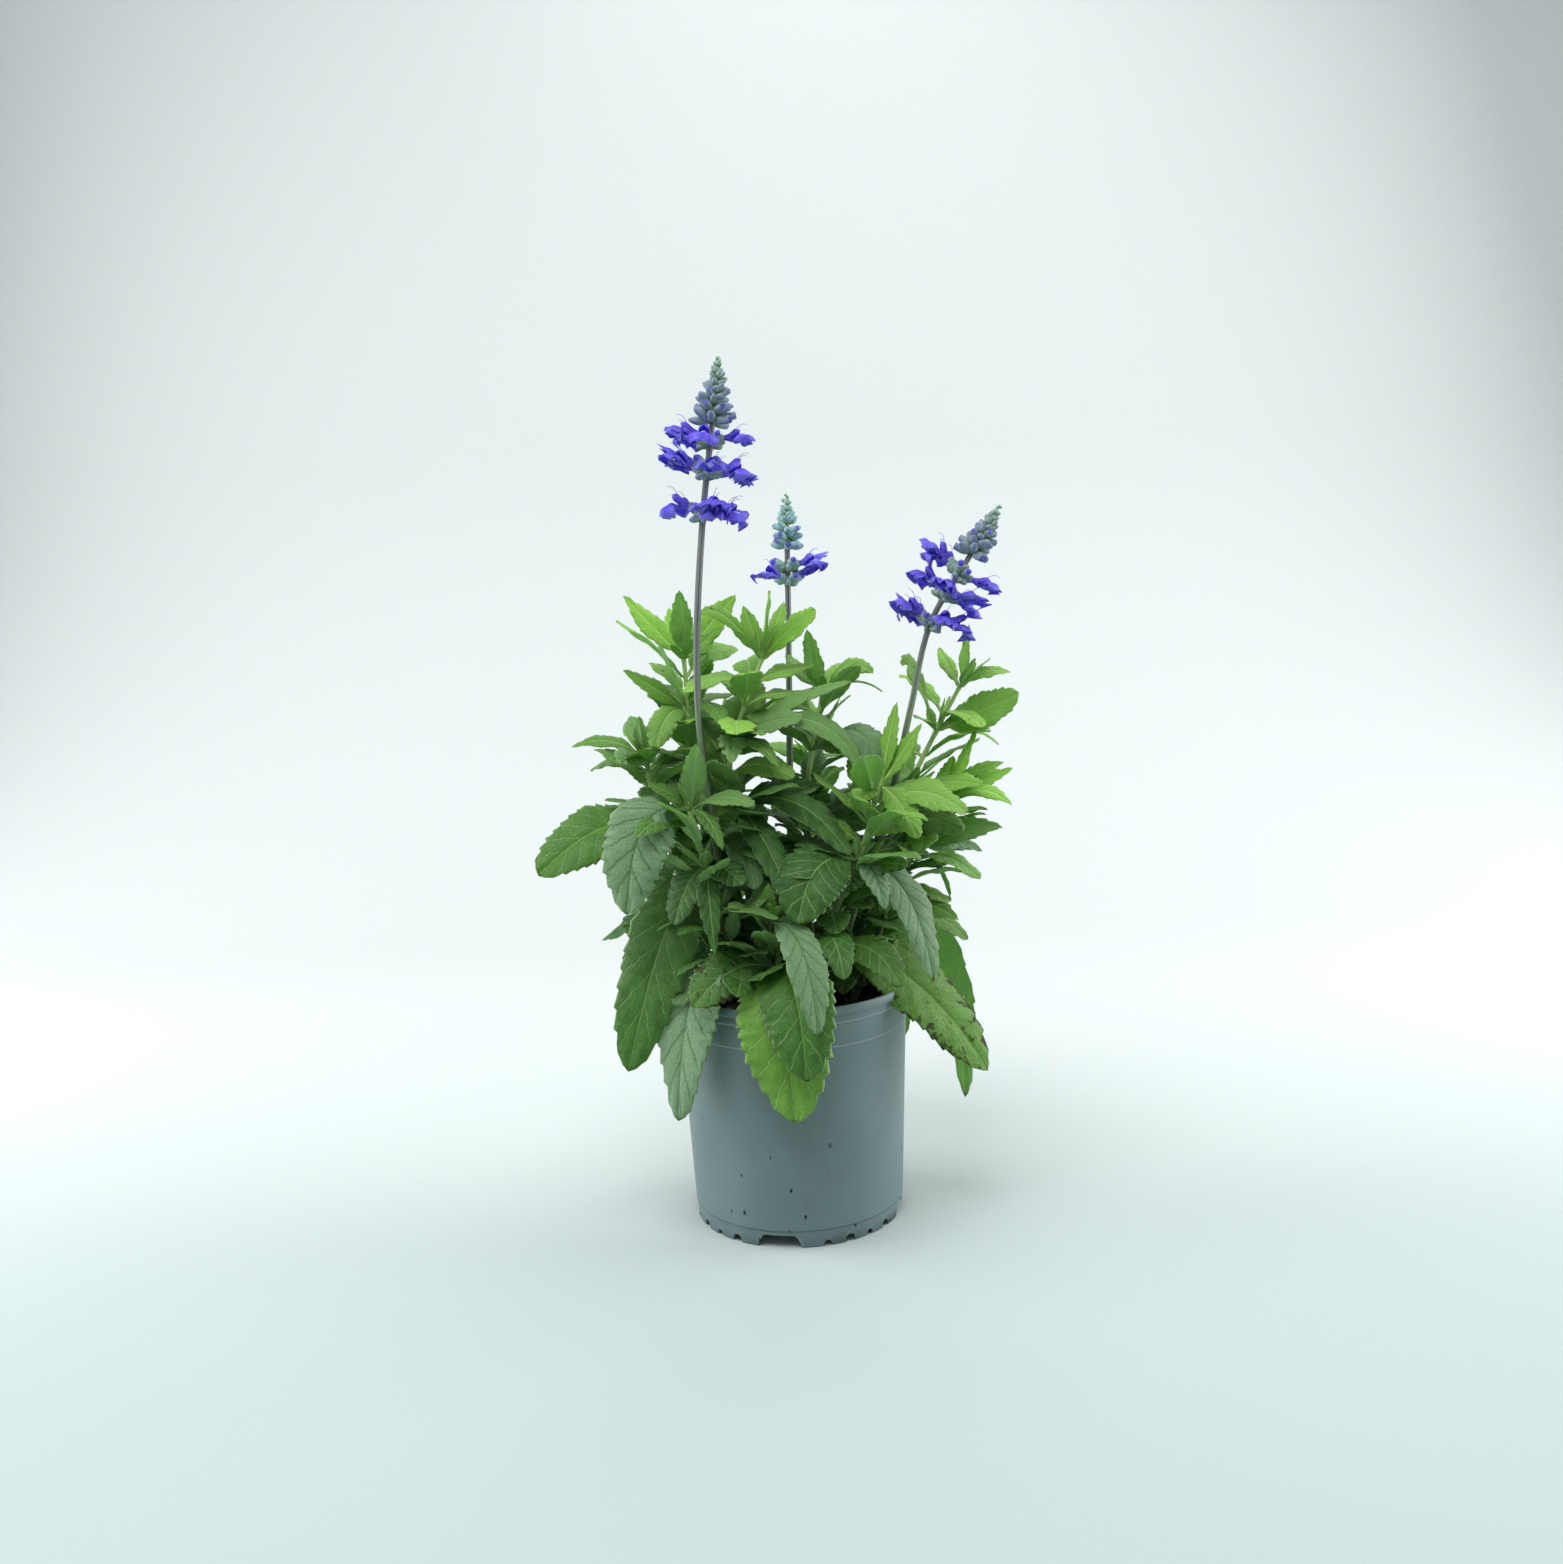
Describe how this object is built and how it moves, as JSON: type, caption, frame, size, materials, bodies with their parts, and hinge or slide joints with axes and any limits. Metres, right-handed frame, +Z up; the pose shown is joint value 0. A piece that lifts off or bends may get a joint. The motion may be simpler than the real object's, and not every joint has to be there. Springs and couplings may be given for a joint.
{
  "type": "potted salvia",
  "caption": "Blue mealycup salvia growing in a round grey-blue plastic nursery pot, with flower spikes and leafy side shoots above the soil.",
  "frame": {"origin": "centre of the pot's foot on the surface it stands on", "axes": "+Z up along the pot's axis, -Y towards the front of the plant"},
  "size_m": [0.236, 0.1722, 0.4239],
  "materials": {
    "pot_plastic": "satin moulded polypropylene",
    "soil_peat": "moist crumbly peat",
    "stalk_skin": "matte, finely haired",
    "shoot_skin": "matte, finely haired",
    "leaf_green": "satin leaf",
    "leaf_young": "satin leaf",
    "flower_blue": "velvety petal",
    "bud_grey": "mealy, finely haired"
  },
  "bodies": {
    "root": {"back_left_shoot": "shoot_skin", "back_right_shoot": "shoot_skin", "back_shoot": "shoot_skin", "bud_cone_left": "bud_grey", "bud_cone_middle": "bud_grey", "bud_cone_right": "bud_grey", "centre_right_shoot": "shoot_skin", "centre_shoot": "shoot_skin", "flowers_left_1": "flower_blue", "flowers_left_2": "flower_blue", "flowers_left_3": "flower_blue", "flowers_middle_1": "flower_blue", "flowers_middle_2": "flower_blue", "flowers_right_1": "flower_blue", "flowers_right_2": "flower_blue", "flowers_right_3": "flower_blue", "leaves_back_1": "leaf_green", "leaves_back_2": "leaf_green", "leaves_back_left_1": "leaf_green", "leaves_back_left_2": "leaf_green", "leaves_back_right_1": "leaf_green", "leaves_back_right_2": "leaf_green", "leaves_centre_1": "leaf_green", "leaves_centre_2": "leaf_green", "leaves_centre_3": "leaf_young", "leaves_centre_right_1": "leaf_green", "leaves_centre_right_2": "leaf_green", "leaves_centre_right_3": "leaf_young", "leaves_left_1": "leaf_green", "leaves_left_2": "leaf_green", "leaves_left_3": "leaf_green", "leaves_left_front_1": "leaf_green", "leaves_left_front_2": "leaf_green", "leaves_left_front_3": "leaf_green", "leaves_low_centre_1": "leaf_green", "leaves_low_centre_2": "leaf_green", "leaves_right_1": "leaf_green", "leaves_right_2": "leaf_green", "leaves_right_3": "leaf_young", "leaves_right_front_1": "leaf_green", "leaves_right_front_2": "leaf_green", "leaves_right_front_3": "leaf_young", "leaves_right_low_1": "leaf_green", "leaves_right_low_2": "leaf_green", "leaves_right_low_3": "leaf_young", "leaves_top_left_1": "leaf_green", "leaves_top_left_2": "leaf_green", "leaves_top_left_3": "leaf_young", "left_front_shoot": "shoot_skin", "left_shoot": "shoot_skin", "left_stalk": "stalk_skin", "low_centre_shoot": "shoot_skin", "middle_stalk": "stalk_skin", "plastic_pot": "pot_plastic", "potting_soil": "soil_peat", "right_front_shoot": "shoot_skin", "right_low_shoot": "shoot_skin", "right_shoot": "shoot_skin", "right_stalk": "stalk_skin", "top_left_shoot": "shoot_skin"}
  },
  "joints": []
}
